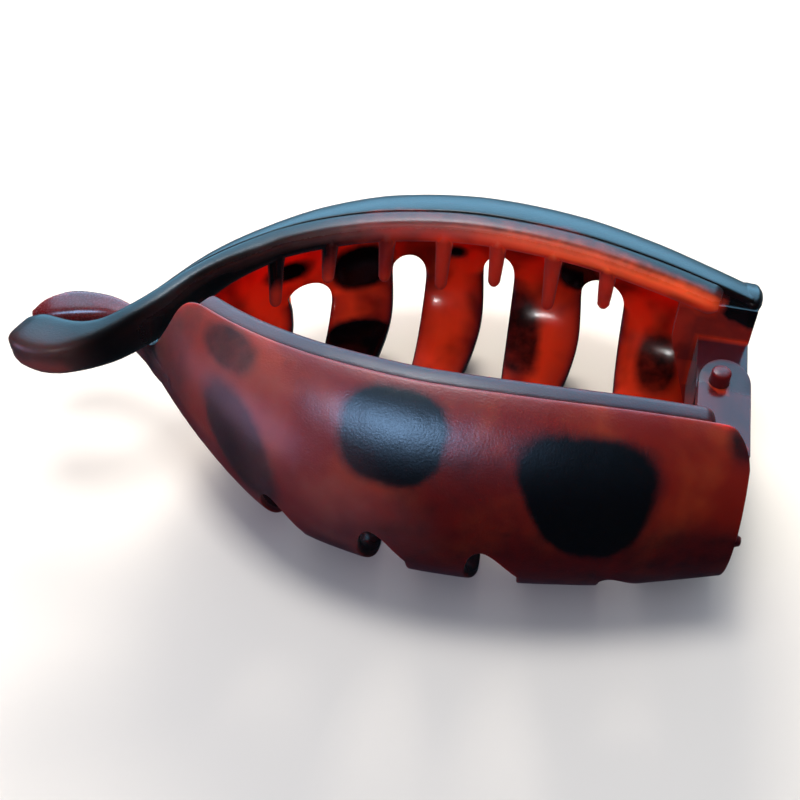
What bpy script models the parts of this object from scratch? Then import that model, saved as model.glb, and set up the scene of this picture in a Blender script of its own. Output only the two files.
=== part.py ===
"""Banana hair clip: two hinged C-shaped jaws with curved teeth and crossing tails.

Lengths are metres and +Z is up. The hinge is at the +X end, the tails are at the -X end, and the
clip lies on the bends of its teeth with both rims on top. The tables below are in millimetres. They
measure x along the clip, out from its middle plane and z down from the crest of the rims.
"""
import math
from collections import namedtuple

import bmesh
import bpy
from mathutils import Vector

MM = 0.001
MERGE_DISTANCE = 0.000002
SHARP_ANGLE = 40.0

# Frame: the part's origin is under the middle of its outer box
MIDDLE_X = 8.35
CREST_Z = 34.0

# Shell
WALL = 2.0
TIP_WALL = 1.4
CLAW_SWEEP = 60.0
CLAW_RISE = 3.5
TOOTH_TIP_GAP = 0.9
TOOTH_TIP_WIDTH = 3.0
TAPER_START = -20.0
TAPER_POWER = 2.0
ARCH_ANGLE = 14.0
STATION_STEP = 4.6
STATION_TURN = 20.0
SIDE_STEPS = 13
CLAW_STEPS = 5
CUT_REACH = 3.0
CUT_END_ANGLE = -156.0
CUT_STEP = 12.0
BAND_STEPS = 3
ARCH_SHARES = (0.04, 0.3, 0.65, 1.0)

# Rail and pegs
RAIL_WIDTH = 4.1
RAIL_HEIGHT = 4.2
RAIL_DROP = 0.15
RAIL_INSET = 1.25
PEG_INSET = 1.65
PEG_LEAN = 3.2
PEG_SIDES = 8
PEG_PROFILE = ((0.0, 1.7), (0.35, 1.35), (0.92, 0.85), (1.0, 0.45))
RAIL_STEP = 5.0
TAIL_STEP = 2.5
BAR_SIDES = 10
BAR_SQUARENESS = 0.65
RAIL_END_SHIFT = 0.9
RAIL_END_SHARE = 0.5
FAR_RAIL_START = 56.2
NEAR_RAIL_START = 55.6
NEAR_RAIL_END = -16.2

# Hinge
PIN_X = 57.9
PIN_RADIUS = 1.4
PIN_SIDES = 24
BORE_RADIUS = 1.5
PIN_TOP = -8.0
PIN_BOTTOM = -27.6
PIN_CHAMFER = 0.3
BORE_OVERRUN = 2.0
LUG_ROOT = 13.3
LUG_REACH = 3.0
LUG_HALF_WIDTH = 3.7
LUG_OFFSET = 0.8
NEAR_TOP_LUG = (-12.4, -10.1)
FAR_KNUCKLE = (-23.5, -12.7)
NEAR_LOW_LUG = (-26.6, -23.8)
WEB_OUT = (11.6, 14.0)
FAR_WEB = ((51.2, -6.0), (62.4, -6.4), (62.4, -31.2), (56.5, -31.6), (51.2, -14.0))
NEAR_WEB = ((51.2, -6.0), (57.5, -6.6), (61.4, -9.6), (61.4, -31.2), (56.5, -31.6), (51.2, -14.0))
END_PLATE_X = (60.0, 61.5)
END_PLATE_ANGLES = (60.0, -84.0)
END_PLATE_STEPS = 10
LUG_STEPS = 10

Station = namedtuple("Station", "x far_gap near_gap rim_z radius crown floor")
STATIONS = (
    Station(-31.0, -11.5, -3.4, -5.0, 9.6, 72.0, -20.5),
    Station(-27.0, -7.6, -0.2, -4.5, 10.7, 74.0, -23.0),
    Station(-20.0, 2.4, 4.8, -3.4, 12.4, 78.0, -27.0),
    Station(-12.0, 9.2, 9.7, -2.3, 14.2, 80.0, -31.0),
    Station(-4.0, 13.4, 13.4, -1.3, 15.5, 82.5, -33.3),
    Station(6.0, 16.3, 16.3, -0.4, 16.4, 84.0, -34.0),
    Station(20.0, 17.9, 17.9, 0.0, 16.7, 84.0, -34.0),
    Station(34.0, 17.2, 17.2, -0.5, 16.6, 83.5, -34.0),
    Station(46.0, 15.5, 15.5, -1.9, 16.0, 82.5, -34.0),
    Station(56.0, 13.7, 13.7, -3.8, 14.6, 82.0, -33.2),
    Station(61.8, 12.6, 12.6, -5.2, 13.4, 83.0, -32.2),
)

Tooth = namedtuple("Tooth", "left right tip")
Edge = namedtuple("Edge", "x angle")
PathPoint = namedtuple("PathPoint", "x y top width height")

FAR_TEETH = (
    Tooth(-20.8, -12.5, -13.5),
    Tooth(-5.5, 3.5, -3.5),
    Tooth(9.7, 19.2, 12.0),
    Tooth(24.9, 36.4, 28.0),
    Tooth(44.0, 54.5, 47.0),
)
NEAR_TEETH = (
    Tooth(-12.0, -4.0, -9.5),
    Tooth(2.6, 11.6, 5.5),
    Tooth(18.4, 26.6, 20.5),
    Tooth(33.8, 44.3, 36.5),
    Tooth(50.8, 58.5, 53.0),
)
FAR_SLOT_TOPS = (-24.0, -12.0, -9.0, -9.0)
NEAR_SLOT_TOPS = (-3.0, 4.0, 3.0, -17.0)

# Where the shell's upper edge is held below the rim: a slanted end and a cut corner on the near jaw
FAR_UPPER_EDGE = (Edge(-26.0, 60.0), Edge(-23.0, 90.0), Edge(61.8, 90.0))
NEAR_UPPER_EDGE = (
    Edge(-31.0, 12.0),
    Edge(-25.0, 15.0),
    Edge(-23.4, 20.0),
    Edge(-21.8, 40.0),
    Edge(-20.6, 58.0),
    Edge(-19.0, 74.0),
    Edge(-16.0, 90.0),
    Edge(56.0, 90.0),
    Edge(59.5, 78.0),
    Edge(61.8, 68.0),
)

# Where the shell ends below: it rises to the tail, and the first and the last tooth taper
FAR_LOWER_EDGE = (
    Edge(-26.0, 5.0),
    Edge(-25.0, -30.0),
    Edge(-23.4, -55.0),
    Edge(-20.8, -68.0),
    Edge(-17.5, -90.0),
    Edge(-15.0, -150.0),
    Edge(48.5, -150.0),
    Edge(54.5, -92.0),
    Edge(61.8, -88.0),
)
NEAR_LOWER_EDGE = (
    Edge(-31.0, -12.0),
    Edge(-29.0, -38.0),
    Edge(-27.0, -55.0),
    Edge(-25.0, -66.0),
    Edge(-18.0, -80.0),
    Edge(-13.5, -91.0),
    Edge(-11.0, -150.0),
    Edge(54.5, -150.0),
    Edge(58.5, -92.0),
    Edge(61.8, -88.0),
)

Brim = namedtuple("Brim", "x top low outer inner")
BRIM = (
    Brim(60.4, 78.0, 30.0, 0.6, 1.6),
    Brim(61.6, 80.0, 26.0, 0.2, 2.4),
    Brim(62.7, 76.0, 32.0, 0.5, 2.3),
    Brim(63.3, 68.0, 42.0, 1.0, 1.9),
)
BRIM_STEPS = 5

Peg = namedtuple("Peg", "x length")
PEGS = (
    Peg(-8.6, 7.4),
    Peg(-2.4, 4.8),
    Peg(6.1, 5.8),
    Peg(14.8, 7.3),
    Peg(23.1, 5.4),
    Peg(31.7, 7.8),
    Peg(40.1, 4.4),
)

FAR_TAIL = (
    PathPoint(-12.0, 7.95, -2.45, 4.1, 4.3),
    PathPoint(-16.6, 4.3, -3.0, 3.5, 5.4),
    PathPoint(-20.4, 0.2, -3.4, 3.2, 6.8),
    PathPoint(-24.2, -5.9, -3.6, 3.8, 7.5),
    PathPoint(-26.8, -9.2, -3.9, 3.8, 7.3),
    PathPoint(-29.8, -12.2, -4.4, 4.4, 6.8),
    PathPoint(-33.3, -14.2, -4.7, 6.2, 6.5),
    PathPoint(-37.0, -14.9, -5.1, 7.8, 6.1),
    PathPoint(-40.2, -14.5, -5.7, 7.2, 5.5),
    PathPoint(-42.4, -13.8, -6.5, 5.2, 4.4),
    PathPoint(-43.4, -13.3, -7.2, 2.4, 2.6),
)
NEAR_TAIL = (
    PathPoint(-20.5, -12.5, -11.9, 2.2, 5.6),
    PathPoint(-24.0, -8.7, -11.7, 3.6, 6.4),
    PathPoint(-28.0, -5.0, -11.7, 3.8, 6.2),
    PathPoint(-32.0, -1.6, -11.7, 3.9, 5.6),
    PathPoint(-36.5, -0.4, -11.8, 5.0, 5.2),
    PathPoint(-41.0, -0.6, -12.0, 5.2, 4.6),
    PathPoint(-44.6, -2.4, -12.3, 3.6, 3.6),
    PathPoint(-46.2, -3.6, -12.8, 1.4, 1.8),
)


def smooth_value(rows, x, name):
    """Read a column of a table at x on a smooth curve through its rows."""
    if rows[0].x > rows[-1].x:
        rows = rows[::-1]
    xs = [row.x for row in rows]
    ys = [getattr(row, name) for row in rows]
    last = len(rows) - 1
    x = min(max(x, xs[0]), xs[-1])
    k = max(i for i in range(last) if xs[i] <= x)
    slopes = []
    for i in (k, k + 1):
        low, high = max(i - 1, 0), min(i + 1, last)
        turning = (ys[high] - ys[i]) * (ys[i] - ys[low]) <= 0 and low < i < high
        slopes.append(0.0 if turning else (ys[high] - ys[low]) / (xs[high] - xs[low]))
    span = xs[k + 1] - xs[k]
    t = (x - xs[k]) / span
    start = ys[k] * (1 + 2 * t) * (1 - t) ** 2 + slopes[0] * span * t * (1 - t) ** 2
    end = ys[k + 1] * t * t * (3 - 2 * t) + slopes[1] * span * t * t * (t - 1)
    return start + end


def straight_value(rows, x, name):
    """Read a column of a table at x on straight lines between its rows."""
    if x <= rows[0].x:
        return getattr(rows[0], name)
    for low, high in zip(rows, rows[1:]):
        if x <= high.x:
            share = (x - low.x) / (high.x - low.x)
            return getattr(low, name) * (1 - share) + getattr(high, name) * share
    return getattr(rows[-1], name)


def section_point(side, x, angle, depth):
    """Point of the C-shaped section at x, as far under the outer face as depth.

    The angle is that of the outward normal: 90 is up, 0 is sideways, -90 is the lowest line, and the
    claws of the teeth run on from there to -150, close to the middle plane.
    """
    gap = smooth_value(STATIONS, x, "far_gap" if side > 0 else "near_gap")
    rim = smooth_value(STATIONS, x, "rim_z")
    radius = smooth_value(STATIONS, x, "radius")
    crown = math.radians(smooth_value(STATIONS, x, "crown"))
    floor = smooth_value(STATIONS, x, "floor")
    centre_out = gap - radius * math.cos(crown)
    centre_z = rim - radius * math.sin(crown)
    turn = math.radians(angle)
    if angle >= 0:
        out = centre_out + (radius - depth) * math.cos(turn)
        z = centre_z + (radius - depth) * math.sin(turn)
    elif angle >= -90:
        out = centre_out + (radius - depth) * math.cos(turn)
        z = centre_z + (centre_z - floor - depth) * math.sin(turn)
    else:
        past = math.radians(-90 - angle)
        reach = max(centre_out - TOOTH_TIP_GAP, 0.3) / math.sin(math.radians(CLAW_SWEEP))
        rise = CLAW_RISE / (1 - math.cos(math.radians(CLAW_SWEEP)))
        thinning = 1 - (1 - TIP_WALL / WALL) * (-90 - angle) / CLAW_SWEEP
        out = centre_out - reach * math.sin(past)
        z = floor + depth * thinning + rise * (1 - math.cos(past))
    return Vector((x, side * out, z))


def to_part(point):
    """Turn a point of the tables into the part's frame, in metres."""
    return Vector(((point[0] - MIDDLE_X) * MM, point[1] * MM, (point[2] + CREST_Z) * MM))


def loft(name, rings, origin):
    """Closed body through rings of equal length, with a flat face on the first and the last."""
    mesh_data = bmesh.new()
    loops = [[mesh_data.verts.new(to_part(point) - origin) for point in ring] for ring in rings]
    count = len(loops[0])
    for first, second in zip(loops, loops[1:]):
        for i in range(count):
            j = (i + 1) % count
            mesh_data.faces.new((first[i], first[j], second[j], second[i]))
    for end in (loops[0], loops[-1]):
        for i in range((count - 1) // 2):
            corners = (end[i], end[i + 1], end[count - 2 - i], end[count - 1 - i])
            mesh_data.faces.new(dict.fromkeys(corners))
    bmesh.ops.remove_doubles(mesh_data, verts=mesh_data.verts, dist=MERGE_DISTANCE)
    bmesh.ops.triangulate(mesh_data, faces=mesh_data.faces)
    bmesh.ops.recalc_face_normals(mesh_data, faces=mesh_data.faces)
    mesh = bpy.data.meshes.new(name)
    mesh_data.to_mesh(mesh)
    mesh_data.free()
    mesh.shade_smooth()
    mesh.set_sharp_from_angle(angle=math.radians(SHARP_ANGLE))
    body = bpy.data.objects.new(name, mesh)
    body.location = origin
    bpy.context.scene.collection.objects.link(body)
    return body


def shell_edges(side, x):
    """Section angles at which the shell starts and ends at x."""
    crown = smooth_value(STATIONS, x, "crown")
    upper = straight_value(FAR_UPPER_EDGE if side > 0 else NEAR_UPPER_EDGE, x, "angle")
    lower = straight_value(FAR_LOWER_EDGE if side > 0 else NEAR_LOWER_EDGE, x, "angle")
    return min(crown, upper), lower


def shell_rings(side):
    """Sections of the bare shell along x, closer together where its edges turn."""
    edges = FAR_UPPER_EDGE + FAR_LOWER_EDGE if side > 0 else NEAR_UPPER_EDGE + NEAR_LOWER_EDGE
    breaks = sorted({row.x for row in edges})
    xs = [breaks[-1]]
    for low, high in zip(breaks, breaks[1:]):
        turn = max(abs(b - a) for a, b in zip(shell_edges(side, low), shell_edges(side, high)))
        parts = math.ceil(max((high - low) / STATION_STEP, turn / STATION_TURN))
        xs += [low + (high - low) * k / parts for k in range(parts)]
    rings = []
    for x in sorted(xs):
        start, end = shell_edges(side, x)
        crown = smooth_value(STATIONS, x, "crown")
        angles = [crown - (90.0 + crown) * k / SIDE_STEPS for k in range(SIDE_STEPS)]
        angles += [-90.0 - CLAW_SWEEP * k / CLAW_STEPS for k in range(CLAW_STEPS + 1)]
        angles = [min(max(angle, end), start) for angle in angles]
        outer = [section_point(side, x, angle, 0.0) for angle in angles]
        inner = [section_point(side, x, angle, WALL) for angle in reversed(angles)]
        rings.append(outer + inner)
    return rings


def tooth_edge(top, tip, angle):
    """Where a tooth's side lies at an angle of the section, tapering from its top to its tip."""
    share = (TAPER_START - angle) / (TAPER_START + 90.0 + CLAW_SWEEP)
    share = min(max(share, 0.0), 1.0) ** TAPER_POWER
    return top + (tip - top) * share


def band_ring(side, left, right, angle):
    """Outline of a cutter that reaches through the wall at one angle of the section."""
    xs = [left + (right - left) * i / BAND_STEPS for i in range(BAND_STEPS + 1)]
    outer = [section_point(side, x, angle, -CUT_REACH) for x in xs]
    inner = [section_point(side, x, angle, WALL + CUT_REACH) for x in reversed(xs)]
    return outer + inner


def slot_rings(side, before, after, top_angle):
    """Cutter of the gap between two teeth, with an arched top."""
    rings = []
    for share in ARCH_SHARES:
        angle = top_angle - ARCH_ANGLE * share
        half = 0.5 * (after.left - before.right) * math.sqrt(1 - (1 - share) ** 2)
        middle = 0.5 * (after.left + before.right)
        rings.append(band_ring(side, middle - half, middle + half, angle))
    angle = top_angle - ARCH_ANGLE
    steps = math.ceil((angle - CUT_END_ANGLE) / CUT_STEP)
    for k in range(1, steps + 1):
        turn = angle + (CUT_END_ANGLE - angle) * k / steps
        left = tooth_edge(before.right, before.tip + 0.5 * TOOTH_TIP_WIDTH, turn)
        right = tooth_edge(after.left, after.tip - 0.5 * TOOTH_TIP_WIDTH, turn)
        rings.append(band_ring(side, left, right, turn))
    return rings


def bar_rings(path, side_sign):
    """Rounded sections of a bar through path points, square to the path in plan."""
    rings = []
    for i, row in enumerate(path):
        low, high = path[max(i - 1, 0)], path[min(i + 1, len(path) - 1)]
        along = Vector((high.x - low.x, high.y - low.y)).normalized()
        across = Vector((-along.y, along.x))
        ring = []
        for k in range(BAR_SIDES):
            turn = 2 * math.pi * (k + 0.5) / BAR_SIDES
            wide = math.copysign(abs(math.cos(turn)) ** BAR_SQUARENESS, math.cos(turn))
            tall = math.copysign(abs(math.sin(turn)) ** BAR_SQUARENESS, math.sin(turn))
            x = row.x + across.x * 0.5 * row.width * wide
            y = row.y + across.y * 0.5 * row.width * wide
            z = row.top - 0.5 * row.height * (1 - tall)
            ring.append((x, side_sign * y, z))
        rings.append(ring)
    return rings


def smooth_path(rows, step):
    """More points on a smooth curve through the rows of a path."""
    first, last = sorted((rows[0].x, rows[-1].x))
    count = math.ceil((last - first) / step)
    xs = [last + (first - last) * i / count for i in range(count + 1)]
    ordered = rows if rows[0].x < rows[-1].x else rows[::-1]
    names = PathPoint._fields[1:]
    return [PathPoint(x, *(smooth_value(ordered, x, name) for name in names)) for x in xs]


def rail_path(start_x, end_x):
    """Path of the rounded rail inside the rim, on the side of positive y."""
    count = math.ceil((start_x - end_x) / RAIL_STEP)
    rows = []
    for i in range(count + 1):
        x = start_x + (end_x - start_x) * i / count
        y = smooth_value(STATIONS, x, "near_gap") - RAIL_INSET
        top = smooth_value(STATIONS, x, "rim_z") - RAIL_DROP
        rows.append(PathPoint(x, y, top, RAIL_WIDTH, RAIL_HEIGHT))
    return rows


def rail_tip(row, way):
    """A smaller section just past the end of a rail, so that the end is rounded."""
    width, height = row.width * RAIL_END_SHARE, row.height * RAIL_END_SHARE
    top = row.top - 0.5 * (row.height - height)
    return PathPoint(row.x + way * RAIL_END_SHIFT, row.y, top, width, height)


def peg_rings(side, x, length):
    """Sections of a tapered peg that hangs from the rail and leans inwards."""
    root_y = smooth_value(STATIONS, x, "near_gap") - PEG_INSET
    root_z = smooth_value(STATIONS, x, "rim_z") - RAIL_DROP - 0.5 * RAIL_HEIGHT
    rings = []
    for share, radius in PEG_PROFILE:
        ring = []
        for k in range(PEG_SIDES):
            turn = 2 * math.pi * k / PEG_SIDES
            reach = length + 0.5 * RAIL_HEIGHT
            px = x + radius * math.cos(turn)
            py = root_y - PEG_LEAN * share + radius * math.sin(turn)
            ring.append((px, side * py, root_z - reach * share))
        rings.append(ring)
    return rings


def web_rings(side):
    """Upright wall inside the hinge end, from the rim down to the shell's lowest line."""
    outline = FAR_WEB if side > 0 else NEAR_WEB
    return [[(x, side * out, z) for x, z in outline] for out in WEB_OUT]


def end_plate_rings(side):
    """Plate that closes the bulge of the shell at the hinge end."""
    rings = []
    for x in END_PLATE_X:
        top, low = END_PLATE_ANGLES
        angles = [top + (low - top) * k / END_PLATE_STEPS for k in range(END_PLATE_STEPS + 1)]
        points = [section_point(side, END_PLATE_X[1], angle, 0.5 * WALL) for angle in angles]
        rings.append([(x, point.y, point.z) for point in points])
    return rings


def brim_rings():
    """Rounded brim that stands out of the far rim's corner at the hinge end."""
    rings = []
    for x, top, low, outer, inner in BRIM:
        angles = [top + (low - top) * k / BRIM_STEPS for k in range(BRIM_STEPS + 1)]
        ring = [section_point(1, x, angle, outer) for angle in angles]
        ring += [section_point(1, x, angle, inner) for angle in reversed(angles)]
        rings.append(ring)
    return rings


def lug_rings(side, levels):
    """Level plate from the web to the pin, with a round end about the pin."""
    middle = PIN_X + LUG_OFFSET
    outline = [(middle + LUG_HALF_WIDTH, side * LUG_ROOT), (middle - LUG_HALF_WIDTH, side * LUG_ROOT)]
    for k in range(LUG_STEPS + 1):
        turn = math.pi * k / LUG_STEPS
        outline.append((middle - LUG_HALF_WIDTH * math.cos(turn), -side * LUG_REACH * math.sin(turn)))
    return [[(x, y, z) for x, y in outline] for z in levels]


def round_rings(radius_levels):
    """Rings of a turned body on the hinge axis, from pairs of a radius and a height."""
    rings = []
    for radius, z in radius_levels:
        ring = []
        for k in range(PIN_SIDES):
            turn = 2 * math.pi * k / PIN_SIDES
            ring.append((PIN_X + radius * math.cos(turn), radius * math.sin(turn), z))
        rings.append(ring)
    return rings


def add_material(body, name, colour, roughness, metallic):
    """Give a body its own material."""
    material = bpy.data.materials.new(name)
    material.use_nodes = True
    shader = material.node_tree.nodes["Principled BSDF"]
    shader.inputs["Base Color"].default_value = (*colour, 1.0)
    shader.inputs["Roughness"].default_value = roughness
    shader.inputs["Metallic"].default_value = metallic
    body.data.materials.append(material)


def combine(body, label, operation, tools):
    """Join the tools to a body, or cut them from it, and keep them as wire guides."""
    group = bpy.data.collections.new(f"{body.name}_{label}")
    bpy.context.scene.collection.children.link(group)
    for tool in tools:
        bpy.context.scene.collection.objects.unlink(tool)
        group.objects.link(tool)
        tool.hide_render = True
        tool.display_type = "WIRE"
    modifier = body.modifiers.new(label, "BOOLEAN")
    modifier.operation = operation
    modifier.operand_type = "COLLECTION"
    modifier.collection = group
    modifier.solver = "EXACT"


def make_jaw(name, side, origin):
    """One jaw: the shell cut into teeth, then its rail, pegs, tail and hinge joined on."""
    teeth = FAR_TEETH if side > 0 else NEAR_TEETH
    slot_tops = FAR_SLOT_TOPS if side > 0 else NEAR_SLOT_TOPS
    jaw = loft(name, shell_rings(side), origin)

    slots = [slot_rings(side, *row) for row in zip(teeth, teeth[1:], slot_tops)]
    bodies = [loft(f"{name}_cut_{i}", rings, origin) for i, rings in enumerate(slots)]
    combine(jaw, "teeth", "DIFFERENCE", bodies)

    if side > 0:
        start = rail_path(FAR_RAIL_START, FAR_TAIL[0].x + 0.5 * RAIL_STEP)
        path = [rail_tip(start[0], 1)] + start + smooth_path(FAR_TAIL, TAIL_STEP)
        bars = [bar_rings(path, 1)]
        bars.append(brim_rings())
        lugs = [FAR_KNUCKLE]
    else:
        start = rail_path(NEAR_RAIL_START, NEAR_RAIL_END)
        bars = [bar_rings([rail_tip(start[0], 1)] + start + [rail_tip(start[-1], -1)], -1)]
        bars.append(bar_rings(smooth_path(NEAR_TAIL, TAIL_STEP), 1))
        lugs = [NEAR_TOP_LUG, NEAR_LOW_LUG]
    joined = bars + [web_rings(side), end_plate_rings(side)]
    joined += [lug_rings(side, levels) for levels in lugs]
    joined += [peg_rings(side, peg.x, peg.length) for peg in PEGS]
    bodies = [loft(f"{name}_add_{i}", rings, origin) for i, rings in enumerate(joined)]
    combine(jaw, "fittings", "UNION", bodies)

    bore = round_rings(((BORE_RADIUS, PIN_TOP + BORE_OVERRUN), (BORE_RADIUS, PIN_BOTTOM - BORE_OVERRUN)))
    combine(jaw, "bore", "DIFFERENCE", [loft(f"{name}_bore", bore, origin)])
    return jaw


def main():
    """Build the two jaws and the pin between them."""
    for body in list(bpy.data.objects):
        bpy.data.objects.remove(body, do_unlink=True)
    pivot = to_part((PIN_X, 0.0, 0.5 * (PIN_TOP + PIN_BOTTOM)))

    far_jaw = make_jaw("far_jaw", 1, pivot)
    add_material(far_jaw, "far jaw tortoiseshell plastic", (0.30, 0.045, 0.025), 0.35, 0.0)
    near_jaw = make_jaw("near_jaw", -1, pivot)
    add_material(near_jaw, "near jaw tortoiseshell plastic", (0.27, 0.05, 0.035), 0.45, 0.0)

    profile = (
        (PIN_RADIUS - PIN_CHAMFER, PIN_BOTTOM),
        (PIN_RADIUS, PIN_BOTTOM + PIN_CHAMFER),
        (PIN_RADIUS, PIN_TOP - PIN_CHAMFER),
        (PIN_RADIUS - PIN_CHAMFER, PIN_TOP),
    )
    pin = loft("hinge_pin", round_rings(profile), pivot)
    add_material(pin, "hinge pin plastic", (0.22, 0.06, 0.05), 0.3, 0.0)


main()
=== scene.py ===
"""Banana hair clip in moulded tortoiseshell plastic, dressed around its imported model.

Tables are millimetres in the clip's own frame: x runs along the clip with the hinge at +x, y is across
it with the near jaw at -y, and z is height above the crest of the two rims. Metres come in at the end,
when a surface is put into a mesh.
"""
import logging
import math
from dataclasses import dataclass
from enum import Enum

import bmesh
import bpy
import numpy as np
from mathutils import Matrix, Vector

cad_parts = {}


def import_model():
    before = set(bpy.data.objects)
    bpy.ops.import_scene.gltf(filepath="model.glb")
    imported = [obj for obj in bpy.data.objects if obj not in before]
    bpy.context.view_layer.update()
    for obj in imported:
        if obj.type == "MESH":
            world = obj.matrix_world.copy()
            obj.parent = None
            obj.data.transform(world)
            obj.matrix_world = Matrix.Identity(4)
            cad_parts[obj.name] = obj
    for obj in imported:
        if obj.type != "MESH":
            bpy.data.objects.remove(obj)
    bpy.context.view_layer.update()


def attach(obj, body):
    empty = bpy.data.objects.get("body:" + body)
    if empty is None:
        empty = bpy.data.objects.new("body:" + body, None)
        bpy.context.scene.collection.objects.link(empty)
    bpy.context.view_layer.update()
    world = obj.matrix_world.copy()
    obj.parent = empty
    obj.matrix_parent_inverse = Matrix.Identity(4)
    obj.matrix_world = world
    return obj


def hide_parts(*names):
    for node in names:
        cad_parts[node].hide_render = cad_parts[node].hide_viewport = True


LOG = logging.getLogger("banana_clip")
MM = 0.001
# From the tables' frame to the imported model's, whose origin is on the floor under the clip's middle
SHIFT = np.array((-8.35, 0.0, 34.0))

# The teeth's claws sweep on past the section's lowest line, rise, and end a gap before the middle plane
SWEEP = math.radians(60.0)
CLAW_END = -150.0
CLAW_GAP = 0.9
CLAW_LIFT = 3.5 / (1.0 - math.cos(SWEEP))

# Beyond this x a jaw is all tail, with the outside's finish. A cloud's depth, and that of painted shade,
# stays within a limit.
TAIL_X = -28.0
CLOUD_LIMIT = 6.0

# Flat plates get points every so many mm, because the clouds are charted at a mesh's points
DICE = 1.5
ON_PLANE = 1e-6

# Edges sharper than these angles stay crisp on a moulding, stay crisp on the pin, and take a bevel
CRISP_ANGLE = math.radians(38.0)
PIN_CRISP_ANGLE = math.radians(50.0)
BEVEL_ANGLE = math.radians(40.0)

# The rail's place under and inside the rim, and its size
RAIL_INSET = 1.25
RAIL_DROP = 0.15
RAIL_WIDTH = 4.1
RAIL_HEIGHT = 4.2
RAIL_STEP = 5.0

Array = np.ndarray
Rows = tuple[tuple[float, ...], ...]
Place = tuple[float, float, float]


class Side(Enum):
    """The jaw on either side of the middle plane."""

    FAR = 1
    NEAR = -1


class Union(Enum):
    """What a tool does to the body that it meets."""

    JOIN = "UNION"
    CUT = "DIFFERENCE"


class Reach(Enum):
    """What a lamp does: whether it lights matt surfaces, and whether it shows in gloss."""

    BOTH = (True, True)
    MATT = (True, False)
    GLOSS = (False, True)


def linear(code: str) -> tuple[float, float, float, float]:
    """Turn an sRGB hex colour into linear light.

    Args:
        code: six hex digits after a hash.

    Returns:
        Red, green and blue from 0 to 1, and an alpha of 1.
    """
    channels = [int(code[i:i + 2], 16) / 255.0 for i in (1, 3, 5)]
    rgb = [c / 12.92 if c <= 0.04045 else ((c + 0.055) / 1.055) ** 2.4 for c in channels]
    return (*rgb, 1.0)


def smooth_step(value: Array) -> Array:
    """Ease from 0 to 1: 3 v^2 - 2 v^3, held outside that range."""
    v = np.clip(value, 0.0, 1.0)
    return v * v * (3.0 - 2.0 * v)


def squared_off(value: Array, power: Array | float) -> Array:
    """Raise a value's size to a power and keep its sign, as on a super-ellipse."""
    return np.sign(value) * np.abs(value) ** power


def smooth_column(xs: Array, ys: Array, x: Array) -> Array:
    """Read a table column on a smooth curve through its rows.

    Each span is the cubic with the rows' own slopes at its ends: the slope of the chord between the
    neighbours, or level where the column turns, so that it never swings past a row.

    Args:
        xs: the rows' places, rising.
        ys: the rows' values.
        x: where to read.

    Returns:
        The values at x.
    """
    x = np.clip(x, xs[0], xs[-1])
    slopes = np.zeros(len(xs))
    slopes[1:-1] = (ys[2:] - ys[:-2]) / (xs[2:] - xs[:-2])
    slopes[0] = (ys[1] - ys[0]) / (xs[1] - xs[0])
    slopes[-1] = (ys[-1] - ys[-2]) / (xs[-1] - xs[-2])
    slopes[1:-1][(ys[2:] - ys[1:-1]) * (ys[1:-1] - ys[:-2]) <= 0] = 0.0
    k = np.clip(np.searchsorted(xs, x, side="right") - 1, 0, len(xs) - 2)
    span = xs[k + 1] - xs[k]
    t = (x - xs[k]) / span
    low = ys[k] * (1 + 2 * t) * (1 - t) ** 2 + slopes[k] * span * t * (1 - t) ** 2
    high = ys[k + 1] * t * t * (3 - 2 * t) + slopes[k + 1] * span * t * t * (t - 1)
    return low + high


def even_samples(points: Array, count: int, ends: float) -> Array:
    """Pick points along a line at even lengths, with one more close to each end.

    Args:
        points: the line's points, close together.
        count: how many to pick.
        ends: length from either end to the extra point.

    Returns:
        The picked points, as many rows as count.
    """
    run = np.concatenate(([0.0], np.cumsum(np.linalg.norm(np.diff(points, axis=0), axis=1))))
    inner = np.linspace(0.0, run[-1], count - 2)[1:-1]
    at = np.concatenate(([0.0, ends], inner, [run[-1] - ends, run[-1]]))
    return np.stack([np.interp(at, run, column) for column in points.T], axis=1)


@dataclass
class Skin:
    """One closed body in millimetres, and how far each point takes the painted edge shade, a darker tone that
    stands in for the dark lines refraction draws on cut edges, from 0 to 1.
    """

    points: Array
    faces: list[list[int]]
    edge: Array | None = None

    def toned(self, share: float) -> "Skin":
        """The same skin with one tone all over."""
        return Skin(self.points, self.faces, np.full(len(self.points), share))

    def body(self, name: str, dice: float = 0.0) -> bpy.types.Object:
        """Put the skin into a mesh in metres, faces outwards.

        Args:
            name: the new object's name.
            dice: millimetres between the planes that cut its faces up, or 0 for none.

        Returns:
            The object, with its place in its mesh.
        """
        moved = (self.points + SHIFT) * MM
        mesh = bpy.data.meshes.new(name)
        mesh.from_pydata(moved.tolist(), [], self.faces)
        if self.edge is not None:
            layer = mesh.attributes.new("edge", "FLOAT", "POINT")
            layer.data.foreach_set("value", self.edge.astype(np.float32))
        made = bmesh.new()
        made.from_mesh(mesh)
        bmesh.ops.recalc_face_normals(made, faces=made.faces)
        step = dice * MM
        for axis in range(3 if dice else 0):
            normal = np.eye(3)[axis]
            low, high = moved[:, axis].min(), moved[:, axis].max()
            for level in np.arange(low + step, high - 0.5 * step, step):
                parts = made.verts[:] + made.edges[:] + made.faces[:]
                bmesh.ops.bisect_plane(made, geom=parts, dist=ON_PLANE,
                                       plane_co=normal * level, plane_no=normal)
        made.to_mesh(mesh)
        made.free()
        obj = bpy.data.objects.new(name, mesh)
        bpy.context.scene.collection.objects.link(obj)
        return obj


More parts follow.
